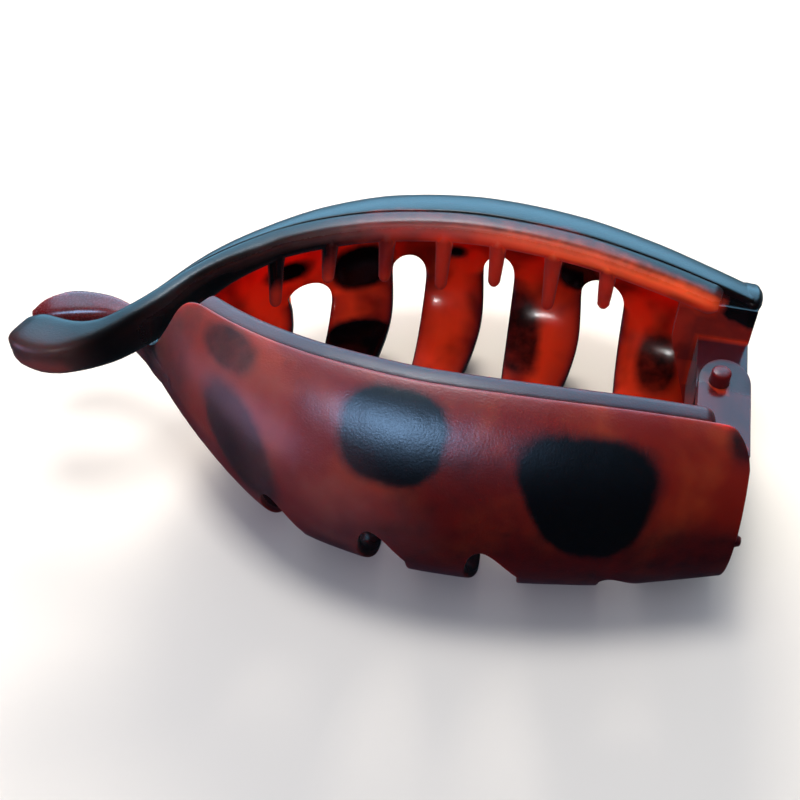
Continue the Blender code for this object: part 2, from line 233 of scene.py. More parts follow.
def tube(rings: Array) -> Skin:
    """Close a stack of rings into one body, with a point at the middle of each end.

    Args:
        rings: points by ring, by place round it, by coordinate.

    Returns:
        Quads between the rings and a fan over each end.
    """
    count, sides = rings.shape[:2]
    index = np.arange(count * sides).reshape(count, sides)
    after = np.roll(index, -1, axis=1)
    pole = np.full(sides, count * sides)
    faces = np.stack([index[:-1], after[:-1], after[1:], index[1:]], axis=-1).reshape(-1, 4).tolist()
    faces += np.stack([after[0], index[0], pole], axis=1).tolist()
    faces += np.stack([index[-1], after[-1], pole + 1], axis=1).tolist()
    return Skin(np.concatenate([rings.reshape(-1, 3), rings[[0, -1]].mean(axis=1)]), faces)


def prism(outline: Array, low: float, high: float, axis: int) -> Skin:
    """Carry a flat outline along an axis.

    Args:
        outline: the outline's two coordinates, in the order of the axes left.
        low: where it starts on the axis.
        high: where it ends.
        axis: 0, 1 or 2.

    Returns:
        Two flat ends and a quad for each side.
    """
    count = len(outline)
    i = np.arange(count)
    j = (i + 1) % count
    faces = np.stack([i, j, j + count, i + count], axis=1).tolist()
    faces += [list(range(count)), list(range(count, 2 * count))]
    return Skin(np.concatenate([np.insert(outline, axis, level, axis=1) for level in (low, high)]), faces)


@dataclass(frozen=True)
class Section:
    """The C-shaped section that both jaws share, and how it changes along the clip."""

    wall: float = 2.0
    tip_wall: float = 1.4
    least_reach: float = 0.3
    claw_share: float = 0.55
    columns: tuple[str, ...] = ("x", "far_gap", "near_gap", "rim_z", "radius", "crown", "floor")
    stations: Rows = (
        (-31.0, -11.5, -3.4, -5.0, 9.6, 72.0, -20.5),
        (-27.0, -7.6, -0.2, -4.5, 10.7, 74.0, -23.0),
        (-20.0, 2.4, 4.8, -3.4, 12.4, 78.0, -27.0),
        (-12.0, 9.2, 9.7, -2.3, 14.2, 80.0, -31.0),
        (-4.0, 13.4, 13.4, -1.3, 15.5, 82.5, -33.3),
        (6.0, 16.3, 16.3, -0.4, 16.4, 84.0, -34.0),
        (20.0, 17.9, 17.9, 0.0, 16.7, 84.0, -34.0),
        (34.0, 17.2, 17.2, -0.5, 16.6, 83.5, -34.0),
        (46.0, 15.5, 15.5, -1.9, 16.0, 82.5, -34.0),
        (56.0, 13.7, 13.7, -3.8, 14.6, 82.0, -33.2),
        (61.8, 12.6, 12.6, -5.2, 13.4, 83.0, -32.2),
    )

    def read(self, name: str, x: Array) -> Array:
        """A named column of the stations at x."""
        rows = np.array(self.stations)
        return smooth_column(rows[:, 0], rows[:, self.columns.index(name)], x)

    def centre(self, side: Side, x: Array) -> tuple[Array, Array, Array, Array]:
        """The section's own circle at x.

        Args:
            side: the jaw.
            x: places along the clip.

        Returns:
            Centre out from the middle plane, centre height, radius, and height of the lowest line.
        """
        gap = self.read("far_gap" if side is Side.FAR else "near_gap", x)
        radius = self.read("radius", x)
        crown = np.radians(self.read("crown", x))
        out = gap - radius * np.cos(crown)
        high = self.read("rim_z", x) - radius * np.sin(crown)
        return out, high, radius, self.read("floor", x)

    def reach(self, centre_out: Array) -> Array:
        """Radius of the claws' arc inwards, so that its sweep ends at their gap."""
        return np.maximum(centre_out - CLAW_GAP, self.least_reach) / math.sin(SWEEP)

    def point(self, side: Side, x: Array, angle: Array, depth: Array) -> Array:
        """Points of the section, by the angle of the outward normal and the depth under it.

        From the crown to 0 degrees it is a circle. From 0 to -90 it is an ellipse down to the lowest
        line. From there the claws of the teeth run on to -150, near the middle plane, as the arc
        out = centre - reach sin(past), z = floor + lift (1 - cos(past)).

        Args:
            side: the jaw.
            x: places along the clip.
            angle: 90 is up, 0 is sideways and -90 is down.
            depth: millimetres under the outer face.

        Returns:
            Points in the table frame.
        """
        centre_out, centre_z, radius, floor = self.centre(side, x)
        turn = np.radians(np.maximum(angle, -90.0))
        past = np.radians(np.maximum(-90.0 - angle, 0.0))
        thinning = 1.0 - (1.0 - self.tip_wall / self.wall) * past / SWEEP
        tall = np.where(angle >= 0, radius, centre_z - floor)
        out = centre_out + (radius - depth) * np.cos(turn)
        z = centre_z + (tall - depth) * np.sin(turn)
        claw = angle < -90.0
        out = np.where(claw, centre_out - self.reach(centre_out) * np.sin(past), out)
        z = np.where(claw, floor + depth * thinning + CLAW_LIFT * (1.0 - np.cos(past)), z)
        return np.stack(np.broadcast_arrays(x, side.value * out, z), axis=-1)

    def chart(self, side: Side, points: Array) -> tuple[Array, Array]:
        """Where points lie on the section, the way back from point().

        Args:
            side: the jaw.
            points: points in the table frame.

        Returns:
            The angle, and the depth under the outer face.
        """
        centre_out, centre_z, radius, floor = self.centre(side, points[:, 0])
        out = side.value * points[:, 1] - centre_out
        up = points[:, 2] - centre_z
        tall = np.where(up >= 0, radius, centre_z - floor)
        angle = np.degrees(np.arctan2(up / tall, out / radius))
        depth = radius * (1.0 - np.hypot(up / tall, out / radius))
        past = np.arcsin(np.clip(-out / self.reach(centre_out), 0.0, 0.99))
        claw = (out < 0) & (up < -self.claw_share * tall)
        angle = np.where(claw, -90.0 - np.degrees(past), angle)
        depth = np.where(claw, points[:, 2] - floor - CLAW_LIFT * (1.0 - np.cos(past)), depth)
        return angle, depth


@dataclass
class Shell:
    """The C-shaped wall of one jaw, cut into five curved teeth with round-topped slots between.

    A tooth is its left and right x at the rim and its middle x at the tip. Lengths are millimetres,
    and all that goes round the section is degrees.
    """

    side: Side
    section: Section
    teeth: Rows
    slot_tops: tuple[float, ...]
    upper_edge: Rows
    lower_edge: Rows
    swell: float
    arch: float = 14.0
    skew: float = 0.0
    tip_width: float = 3.0
    tip_round: float = 6.0
    taper_start: float = -20.0
    swell_start: float = -12.0
    swell_fade: float = 50.0
    swell_end: float = 45.0
    crowning: float = 0.45
    end_crowning: float = 0.6
    side_thinning: float = 0.08
    crown_lead: float = 6.0
    crown_fade: float = 24.0
    degree_mm: float = 0.26
    support: float = 0.65
    end_columns: int = 17
    tooth_columns: int = 6
    slot_columns: int = 10
    plain_rows: int = 10
    arched_rows: int = 5
    tooth_rows: int = 18
    level_gap: float = 10.0
    # Painted shade along a tooth's sides on the inner face, for the dark refraction lines at the bars' edges
    side_shade_tones: tuple[float, float] = (0.9, 0.35)
    wall_layers: tuple[float, ...] = (0.0, 0.5, 1.5, 2.0)

    def rim(self, x: Array) -> Array:
        """Angle at which the wall starts above, at x."""
        edge = np.array(self.upper_edge)
        return np.minimum(self.section.read("crown", x), np.interp(x, edge[:, 0], edge[:, 1]))

    def taper(self, angle: Array) -> Array:
        """How far a tooth has leant and narrowed at an angle: the square of the way to its tip."""
        way = (self.taper_start - angle) / (self.taper_start - CLAW_END)
        return np.clip(way, 0.0, 1.0) ** 2

    def tip_line(self, tooth: tuple[float, ...]) -> Array:
        """Rounded end of a tooth as x and angle, from its left to its right corner."""
        u = np.linspace(-1.0, 1.0, 25)
        low = CLAW_END + self.tip_round * np.abs(u) ** 3
        return np.stack([tooth[2] + 0.5 * self.tip_width * u, low], axis=1)

    def end_group(self, first: bool) -> tuple[Array, Array]:
        """Columns of the first or the last tooth, from the jaw's own end to the tooth's inner side.

        Args:
            first: the tooth at the tail, else the one at the hinge.

        Returns:
            The columns' upper ends and lower ends, each as x and angle, from left to right.
        """
        tooth = self.teeth[0 if first else -1]
        low = np.array(self.lower_edge)
        low = low[low[:, 1] > CLAW_END]
        if first:
            xs = np.linspace(low[0, 0], tooth[1], 400)
            foot = np.concatenate([low[low[:, 0] < tooth[2]], self.tip_line(tooth)])
        else:
            xs = np.linspace(tooth[0], low[-1, 0], 400)
            foot = np.concatenate([self.tip_line(tooth), low[low[:, 0] > tooth[2]]])
        head = np.stack([xs, self.rim(xs)], axis=1)
        scale = np.array((1.0, self.degree_mm))
        head, foot = (even_samples(line * scale, self.end_columns, self.support) / scale
                      for line in (head, foot))
        return head, foot

    def columns(self) -> tuple[Array, Array, Array, Array]:
        """Lay out every column of the wall from the tail to the hinge.

        A middle tooth's columns are even but for one close to each side. A slot's close up to its
        sides as a cosine does, and its top is a round arch, leant by the skew.

        Returns:
            Upper ends, lower ends, the angle at which each leaves the band above the slots, and
            which gaps between neighbouring columns are slots.
        """
        heads, feet, bands, gaps = [], [], [], []
        last = len(self.teeth) - 1
        for i, tooth in enumerate(self.teeth):
            if i in (0, last):
                head, foot = self.end_group(i == 0)
                inner = -1 if i == 0 else 0
                top = self.slot_tops[0 if i == 0 else -1] - self.arch
                share = (head[inner, 1] - top) / (head[inner, 1] - foot[inner, 1])
                band = head[:, 1] + (foot[:, 1] - head[:, 1]) * share
            else:
                width = tooth[1] - tooth[0]
                edge = self.support / width
                u = np.concatenate([[0.0], np.linspace(edge, 1.0 - edge, self.tooth_columns - 2), [1.0]])
                head = np.stack([tooth[0] + width * u, self.rim(tooth[0] + width * u)], axis=1)
                line = self.tip_line(tooth)
                way = np.linspace(0.0, 1.0, len(line))
                foot = np.stack([np.interp(u, way, row) for row in line.T], axis=1)
                tops = self.slot_tops[i - 1], self.slot_tops[i]
                band = tops[0] - self.arch + (tops[1] - tops[0]) * smooth_step(u)
            heads.append(head)
            feet.append(foot)
            bands.append(band)
            gaps += [False] * (len(head) - 1)
            if i < last:
                across = -np.cos(math.pi * np.arange(1, self.slot_columns) / self.slot_columns)
                after = self.teeth[i + 1][0]
                x = 0.5 * (tooth[1] + after) + 0.5 * (after - tooth[1]) * across
                heads.append(np.stack([x, self.rim(x)], axis=1))
                leant = across + self.skew * (1.0 - across ** 2)
                arch = self.slot_tops[i] - self.arch * (1.0 - np.sqrt(np.maximum(1.0 - leant ** 2, 0.0)))
                feet.append(np.stack([x, arch], axis=1))
                bands.append(arch)
                gaps += [True] * self.slot_columns
        return np.concatenate(heads), np.concatenate(feet), np.concatenate(bands), np.array(gaps)

    def across_teeth(self, middle: Array, end: Array, slot: float = 0.0, right: Array | None = None) -> Array:
        """Lay a value over all columns.

        Args:
            middle: over each middle tooth.
            end: over the last tooth, from its inner side, and turned round over the first.
            slot: inside the slots.
            right: over the last tooth, if it isn't the first one turned round.

        Returns:
            One value for each column.
        """
        gap = np.full(self.slot_columns - 1, slot)
        middles = [middle, gap] * (len(self.teeth) - 2)
        return np.concatenate([end[::-1], gap, *middles, end if right is None else right])

    def slot_row(self) -> int:
        """First row of cells that the slots cut."""
        return self.plain_rows + self.arched_rows - 1

    def lattice(self) -> tuple[Array, Array, Array]:
        """Where the wall's points lie, as x and angle by row and column.

        Down each column the angle goes to one level just above the slots, then to the band's end,
        which follows the slots' arches, and then to its lower end. Rows lie closer near an edge, so
        that the subdivision keeps it. x leans over with the taper where a column ends low, and with
        the way down to the power 1.5 where it ends high. A tooth's right side swells below the arches.

        Returns:
            x, angle, and which cells are wall.
        """
        heads, feet, bands, gaps = self.columns()
        level = np.minimum(max(self.slot_tops) + self.level_gap, 0.6 * heads[:, 1] + 0.4 * bands)
        plain = np.concatenate([[0.0, 0.035], np.linspace(0.125, 1.0, self.plain_rows - 2)])
        arched = np.concatenate([np.linspace(0.0, 0.75, self.arched_rows - 1)[1:], [0.92, 1.0]])
        tooth = np.concatenate([np.linspace(0.0, 0.95, self.tooth_rows - 1), [0.985, 1.0]])[1:]
        angle = np.concatenate([
            heads[:, 1] + (level - heads[:, 1]) * plain[:, None],
            level + (bands - level) * arched[:, None],
            bands + (feet[:, 1] - bands) * tooth[:, None],
        ])
        way = (heads[:, 1] - angle) / np.maximum(heads[:, 1] - feet[:, 1], 1e-6)
        end = self.taper(feet[:, 1])
        low = smooth_step((end - 0.2) / 0.6)
        lean = (1.0 - low) * np.clip(way, 0, 1) ** 1.5 + low * self.taper(angle) / np.maximum(end, 0.2)
        x = heads[:, 0] + (feet[:, 0] - heads[:, 0]) * lean
        rise = smooth_step((self.swell_start - angle) / self.swell_fade)
        rise = rise * smooth_step((angle - CLAW_END) / self.swell_end)
        middle, end = (np.linspace(0.0, 1.0, n) ** 1.5 for n in (self.tooth_columns, self.end_columns))
        x = x + self.swell * rise * self.across_teeth(middle, end[::-1], right=0.0 * end)
        wall = np.ones((len(angle) - 1, len(gaps)), bool)
        wall[self.slot_row():, gaps] = False
        return x, angle, wall

    def thickening(self, angle: Array) -> Array:
        """How much thicker the wall is: crowned over a tooth as 1 - (2 u - 1)^2, and thin at its sides.

        Args:
            angle: angles of the wall's points, by row and column.

        Returns:
            A factor for each point.
        """
        end = np.clip(np.linspace(0.0, 1.6, self.end_columns), 0.0, 1.0)
        middle = np.linspace(0.0, 1.0, self.tooth_columns)
        middle, end = (self.crowning * (1.0 - (2.0 * u - 1.0) ** 2) * share - self.side_thinning
                       for u, share in ((middle, 1.0), (end, self.end_crowning)))
        share = self.across_teeth(middle, end, -self.side_thinning)
        return 1.0 + share * smooth_step((max(self.slot_tops) + self.crown_lead - angle) / self.crown_fade)

    def edge_shade_tones(self, shape: tuple[int, int]) -> Array:
        """Painted shade by layer and point, a darker tone that stands in for the dark lines refraction draws:
        full on the cut edges, and along a tooth's sides on the inner face.

        Args:
            shape: rows and columns of the wall's points.

        Returns:
            The tones, one layer after the other.
        """
        end, middle = np.zeros(self.end_columns), np.zeros(self.tooth_columns)
        end[:2] = middle[:2] = self.side_shade_tones
        middle[-2:] = self.side_shade_tones[::-1]
        sides = np.zeros(shape)
        sides[self.slot_row():] = self.across_teeth(middle, end)
        inner = self.section.wall
        return np.concatenate([
            np.maximum(sides.reshape(-1) * (depth == inner), 0.0 < depth < inner)
            for depth in self.wall_layers
        ])

    def skin(self) -> Skin:
        """The wall's outer face, inner face and rounded edges as one closed body.

        Returns:
            The skin, a coarse cage for subdivision.
        """
        x, angle, wall = self.lattice()
        swell = self.thickening(angle)
        layers = [self.section.point(self.side, x, angle, depth * swell) for depth in self.wall_layers]
        index = np.arange(x.size).reshape(x.shape)
        cells = np.stack([index[:-1, :-1], index[1:, :-1], index[1:, 1:], index[:-1, 1:]], axis=-1)[wall]
        # A side that only one cell has lies on the wall's outline
        edges = np.concatenate([cells[:, [k, (k + 1) % 4]] for k in range(4)])
        key = edges.min(axis=1) * x.size + edges.max(axis=1)
        _, first, count = np.unique(key, return_index=True, return_counts=True)
        rims = edges[first[count == 1]]
        faces = [cells, cells[:, ::-1] + x.size * (len(layers) - 1)]
        for k in range(len(layers) - 1):
            low, high = rims + x.size * k, rims + x.size * (k + 1)
            faces.append(np.stack([low[:, 1], low[:, 0], high[:, 0], high[:, 1]], axis=1))
        quads = np.concatenate(faces)
        used, packed = np.unique(quads, return_inverse=True)
        points = np.concatenate([layer.reshape(-1, 3) for layer in layers])[used]
        tones = self.edge_shade_tones(x.shape)[used].astype(float)
        return Skin(points, packed.reshape(quads.shape).tolist(), tones)


@dataclass
class Bar:
    """A rounded bar along a path in plan, as the rails, tails and thumb paddles are.

    A row of the path is x, y, top, width and height.
    """

    path: Rows
    step: float = 0.9
    sides: int = 28
    crown_square: float = 0.6
    belly_square: float = 0.75
    paddle_square: float = 0.6
    paddle_x: float = -31.0
    paddle_fade: float = 6.0
    start_dome: float = 1.2
    end_dome: float = 0.5
    flip: int = 1

    def skin(self) -> Skin:
        """Sections square to the path, each a super-ellipse: cos^q wide and sin^q tall.

        At either end five more sections round it off, their size being sqrt(1 - (1 - d)^2).

        Returns:
            The bar as one closed body.
        """
        rows = np.array(sorted(self.path))
        count = int(math.ceil((rows[-1, 0] - rows[0, 0]) / self.step)) + 1
        x = np.linspace(rows[-1, 0], rows[0, 0], count)
        y, top, width, height = (smooth_column(rows[:, 0], column, x) for column in rows.T[1:])
        dome = np.linspace(0.25, 1.0, 6)[:-1]
        size = np.sqrt(1.0 - (1.0 - dome) ** 2)
        slope = np.gradient(y, x)
        lead = x[0] + self.start_dome * (1.0 - dome)
        tail = x[-1] - self.end_dome * (1.0 - dome[::-1])
        y = np.concatenate([y[0] + slope[0] * (lead - x[0]), y, y[-1] + slope[-1] * (tail - x[-1])])
        x = np.concatenate([lead, x, tail])
        scale = np.concatenate([size, np.ones(count), size[::-1]])
        top, width, height = (np.pad(v, len(dome), mode="edge") for v in (top, width, height))
        along = np.stack([np.gradient(x), np.gradient(y)])
        along /= np.linalg.norm(along, axis=0)
        turn = 2.0 * math.pi * (np.arange(self.sides) + 0.5) / self.sides
        flat = smooth_step((self.paddle_x - x) / self.paddle_fade)[:, None]
        crown = self.crown_square + (self.paddle_square - self.crown_square) * flat
        square = np.where(np.sin(turn) > 0, crown, self.belly_square)
        wide = 0.5 * (width * scale)[:, None] * squared_off(np.cos(turn), square)
        tall = 0.5 * (height * scale)[:, None] * squared_off(np.sin(turn), square)
        px = x[:, None] - along[1][:, None] * wide
        py = y[:, None] + along[0][:, None] * wide
        return tube(np.stack([px, self.flip * py, (top - 0.5 * height)[:, None] + tall], axis=-1))


@dataclass
class Turned:
    """A turned body on a straight axis, from a profile of radius and way along."""

    profile: Rows
    start: Place
    end: Place
    sides: int = 20

    def skin(self) -> Skin:
        """Level rings of the profile's radius, carried from the start to the end.

        Returns:
            The body as one closed skin.
        """
        rows = np.array(self.profile)
        turn = 2.0 * math.pi * np.arange(self.sides) / self.sides
        start, end = np.array(self.start), np.array(self.end)
        middles = start + (end - start) * rows[:, 1:]
        ring = np.stack([np.cos(turn), np.sin(turn), np.zeros(self.sides)], axis=1)
        return tube(middles[:, None, :] + rows[:, 0][:, None, None] * ring)


@dataclass(frozen=True)
class Blotch:
    """A cloud or patch in the plastic, charted by x and section angle; the same charts also place painted
    shade, painted glow and painted sheen.

    A depth range keeps it to one face. It may lean, and widen upwards by the taper. The most is how
    dark its middle gets: above 0.5 is a full cloud, below 0 a thin smoky veil.
    """

    x: float
    angle: float
    half_x: float
    half_angle: float
    soft: float = 1.0
    lean: float = 0.0
    power: float = 2.2
    taper: float = 0.0
    from_depth: float = -9.0
    to_depth: float = 99.0
    most: float = 9.0
    degree_mm: float = 0.27
    depth_soft: float = 0.4

    def field(self, x: Array, angle: Array, depth: Array) -> Array:
        """Signed distance into the cloud, in soft widths.

        It is 1 - (|dx / half|^p + |da / half|^p)^(1/p), where half of x grows upwards by the taper, less
        the way outside the cloud's range of depths, and at most what a thin cloud holds.

        Args:
            x: places along the clip.
            angle: section angles.
            depth: millimetres under the outer face.

        Returns:
            Above 0 inside the cloud and below 0 outside.
        """
        rise = (angle - self.angle) / self.half_angle
        half = self.half_x * (1.0 + self.taper * np.clip(rise, -1.0, 1.0))
        across = np.abs(x - self.x - self.lean * (angle - self.angle)) / half
        inside = 1.0 - (across ** self.power + np.abs(rise) ** self.power) ** (1.0 / self.power)
        beyond = np.maximum(0.0, np.maximum(self.from_depth - depth, depth - self.to_depth))
        size = min(self.half_x, self.degree_mm * self.half_angle)
        return np.minimum(inside * size / self.soft - beyond / self.depth_soft, self.most)


def add_node(tree: bpy.types.NodeTree, kind: str, out: int | str = 0, settings: dict | None = None,
             **links) -> bpy.types.NodeSocket | None:
    """Add a shader node with its settings and links.

    Args:
        tree: the node tree.
        kind: the node's type name, after ShaderNode.
        out: place or name of the output that is wanted.
        settings: attributes of the node.
        links: input names, with spaces as underscores or i0, i1 for places, to a value or a socket.

    Returns:
        The wanted output, if the node has any.
    """
    node = tree.nodes.new("ShaderNode" + kind)
    for name, value in (settings or {}).items():
        setattr(node, name, value)
    for name, value in links.items():
        place = int(name[1:]) if name[0] == "i" and name[1:].isdigit() else name.replace("_", " ")
        socket = node.inputs[place]
        if isinstance(value, bpy.types.NodeSocket):
            tree.links.new(value, socket)
        else:
            socket.default_value = value
    return node.outputs[out] if node.outputs else None


@dataclass(frozen=True)
class TortoiseshellPlastic:
    """Injection-moulded cellulose acetate: clear honey-red body with near-black clouds through its wall.

    Light that enters the wall comes out a saturated red, so thin lit parts glow. The outside is finely
    blasted and looks satin with a pale bloom, the inside has the polish of its tool and is glossy. Some
    colour is painted light: the inner faces take a brighter red as painted glow, the far rail an orange
    painted glow and highlight, cut edges and some patches a painted shade, and the pale bloom is partly
    painted sheen.
    """

    name: str
    body_colour: str = "#761509"
    # Painted glow: the inner faces take this brighter red for light that shines through the wall
    inner_glow_colour: str = "#d2361a"
    # Painted glow and highlight, orange, on the far rail towards the hinge
    painted_glow_colour: str = "#f26636"
    marble_colour: str = "#8f3216"
    # The inner faces' painted glow red where the marbling runs
    marbled_glow_colour: str = "#7e1a0e"
    # Smoky brown of the plastic's clouds, also used as painted shade
    smoke_and_shade_colour: str = "#2c0d12"
    # Painted shade on cut edges, for the dark lines that refraction draws there
    edge_shade_colour: str = "#1e0b1a"
    # Near-black of the plastic's clouds, also used as painted shade
    cloud_and_shade_colour: str = "#060406"
    # Pale bloom: a dusting on the blasted outside, and a painted sheen of the sky
    dust_and_sheen_colour: str = "#966a6c"
    bloom_colour: str = "#8fb4cc"
    outer_roughness: float = 0.35
    inner_roughness: float = 0.17
    roughness_spread: float = 0.12
    cloud_edge_mm: float = 2.6
    marble_mm: float = 9.0
    grain_mm: float = 0.32
    ripple_mm: float = 4.0
    grain_height_mm: float = 0.03
    ripple_height_mm: float = 0.14
    glow_depth_mm: float = 4.5

    def make(self) -> bpy.types.Material:
        """Build the material's nodes.

        Returns:
            The material.
        """
        material = bpy.data.materials.new(self.name)
        material.use_nodes = True
        tree = material.node_tree
        tree.nodes.clear()
        place = add_node(tree, "TexCoord", "Object")
        cloud, inside, edge, painted_glow, dust_and_sheen = (
            add_node(tree, "Attribute", "Fac", {"attribute_name": name})
            for name in ("cloud", "inside", "edge", "painted_glow", "dust_and_sheen")
        )
        wander, marble, grain, ripple = (
            add_node(tree, "TexNoise", Vector=place, Scale=1.0 / (size * MM), Detail=detail, Roughness=rough,
                     Distortion=warp)
            for size, detail, rough, warp in (
                (self.cloud_edge_mm, 3.0, 0.55, 0.0), (self.marble_mm, 2.5, 0.5, 0.25),
                (self.grain_mm, 2.0, 0.6, 0.0), (self.ripple_mm, 1.0, 0.5, 0.0))
        )

        # The edges of the clouds and of the painted shade wander by about a third of their soft width, in a
        # ring of thin smoky brown
        wander = add_node(tree, "Math", 0, {"operation": "MULTIPLY_ADD"}, i0=wander, i1=1.1, i2=-0.55)
        field = add_node(tree, "Math", 0, {"operation": "ADD"}, i0=cloud, i1=wander)
        # The first two carry the plastic's clouds and the painted shade, the third the marbling
        dark, smoke_and_shade, warm = (
            add_node(tree, "MapRange", 0, {"interpolation_type": "SMOOTHSTEP"}, Value=value, From_Min=low,
                     From_Max=high, To_Max=most)
            for value, low, high, most in (
                (field, -0.45, 0.55, 1.0), (field, -1.6, 0.2, 0.75), (marble, 0.42, 0.72, 1.0))
        )

        # A pale dusting with painted sheen lies in the marbling, and a little less on the clouds
        haze = add_node(tree, "Math", 0, {"operation": "MULTIPLY"}, i0=marble, i1=dust_and_sheen)
        clear = add_node(tree, "Math", 0, {"operation": "MULTIPLY_ADD"}, i0=dark, i1=-0.25, i2=1.0)
        haze = add_node(tree, "Math", 0, {"operation": "MULTIPLY"}, i0=haze, i1=clear)

        # Marbled body colour outside, a brighter marbled red painted on the inner faces as glow, and then
        # each layer over the last: painted glow, painted edge shade, the clouds with painted shade, and a
        # dusting with painted sheen
        mix = {"data_type": "RGBA"}
        shade, inner_glow = (
            add_node(tree, "Mix", 2, mix, i0=warm, i6=linear(plain), i7=linear(marbled))
            for plain, marbled in ((self.body_colour, self.marble_colour),
                                   (self.inner_glow_colour, self.marbled_glow_colour))
        )
        for share, over in (
            (inside, inner_glow), (painted_glow, linear(self.painted_glow_colour)), (edge, linear(self.edge_shade_colour)),
            (smoke_and_shade, linear(self.smoke_and_shade_colour)), (dark, linear(self.cloud_and_shade_colour)),
            (haze, linear(self.dust_and_sheen_colour)),
        ):
            shade = add_node(tree, "Mix", 2, mix, i0=share, i6=shade, i7=over)

        satin = add_node(tree, "Math", 0, {"operation": "MULTIPLY_ADD"}, i0=inside,
                         i1=self.inner_roughness - self.outer_roughness,
                         i2=self.outer_roughness - 0.5 * self.roughness_spread)
        rough = add_node(tree, "Math", 0, {"operation": "MULTIPLY_ADD"}, i0=grain,
                         i1=self.roughness_spread, i2=satin)
        blasted = add_node(tree, "Math", 0, {"operation": "MULTIPLY_ADD"}, i0=inside, i1=-0.8, i2=0.9)
        fine = add_node(tree, "Bump", Strength=blasted, Distance=self.grain_height_mm * MM, Height=grain)
        soft = add_node(tree, "Bump", Strength=0.5, Distance=self.ripple_height_mm * MM,
                        Height=ripple, Normal=fine)
        shader = add_node(
            tree, "BsdfPrincipled", 0, {"subsurface_method": "RANDOM_WALK"},
            Base_Color=shade, Roughness=rough, Normal=soft, IOR=1.49, Specular_IOR_Level=0.4,
            Subsurface_Weight=0.85, Subsurface_Radius=(1.0, 0.16, 0.08),
            Subsurface_Scale=self.glow_depth_mm * MM,
            Sheen_Weight=0.12, Sheen_Roughness=0.45, Sheen_Tint=linear(self.bloom_colour),
        )
        add_node(tree, "OutputMaterial", Surface=shader)
        return material


def fuse(name: str, base: bpy.types.Object,
         steps: list[tuple[Union, list[bpy.types.Object]]]) -> bpy.types.Object:
    """Join bodies to a base and cut others from it, and keep the result as one mesh.

    Args:
        name: the piece's name.
        base: the body with its own modifiers.
        steps: what to do, in order, with which bodies.

    Returns:
        The finished piece, with no modifiers left.
    """
    spare = [base]
    for i, (kind, tools) in enumerate(steps):
        group = bpy.data.collections.new(f"{name}_{i}")
        for tool in tools:
            group.objects.link(tool)
        spare += tools
        modifier = base.modifiers.new(f"step_{i}", "BOOLEAN")
        modifier.operation = kind.value
        modifier.operand_type = "COLLECTION"
        modifier.collection = group
        modifier.solver = "MANIFOLD"
    evaluated = base.evaluated_get(bpy.context.evaluated_depsgraph_get())
    mesh = bpy.data.meshes.new_from_object(evaluated)
    mesh.name = name
    mesh.materials.clear()
    for obj in spare:
        bpy.data.objects.remove(obj, do_unlink=True)
    mesh.shade_smooth()
    mesh.set_sharp_from_angle(angle=CRISP_ANGLE)
    piece = bpy.data.objects.new(name, mesh)
    bpy.context.scene.collection.objects.link(piece)
    return piece


def bevelled(obj: bpy.types.Object, width: float) -> bpy.types.Object:
    """Round a body's edges with a bevel.

    Args:
        obj: the body.
        width: the bevel's width in millimetres.

    Returns:
        The body.
    """
    modifier = obj.modifiers.new("round", "BEVEL")
    modifier.width = width * MM
    modifier.segments = 3
    modifier.limit_method = "ANGLE"
    modifier.angle_limit = BEVEL_ANGLE
    return obj


def write_finish(piece: bpy.types.Object, values: dict[str, Array]) -> None:
    """Write named values at a piece's points, for its material to read.

    Args:
        piece: the finished piece.
        values: attribute name to one value for each point.
    """
    for name, row in values.items():
        layer = piece.data.attributes.new(name, "FLOAT", "POINT")
        layer.data.foreach_set("value", row.astype(np.float32))


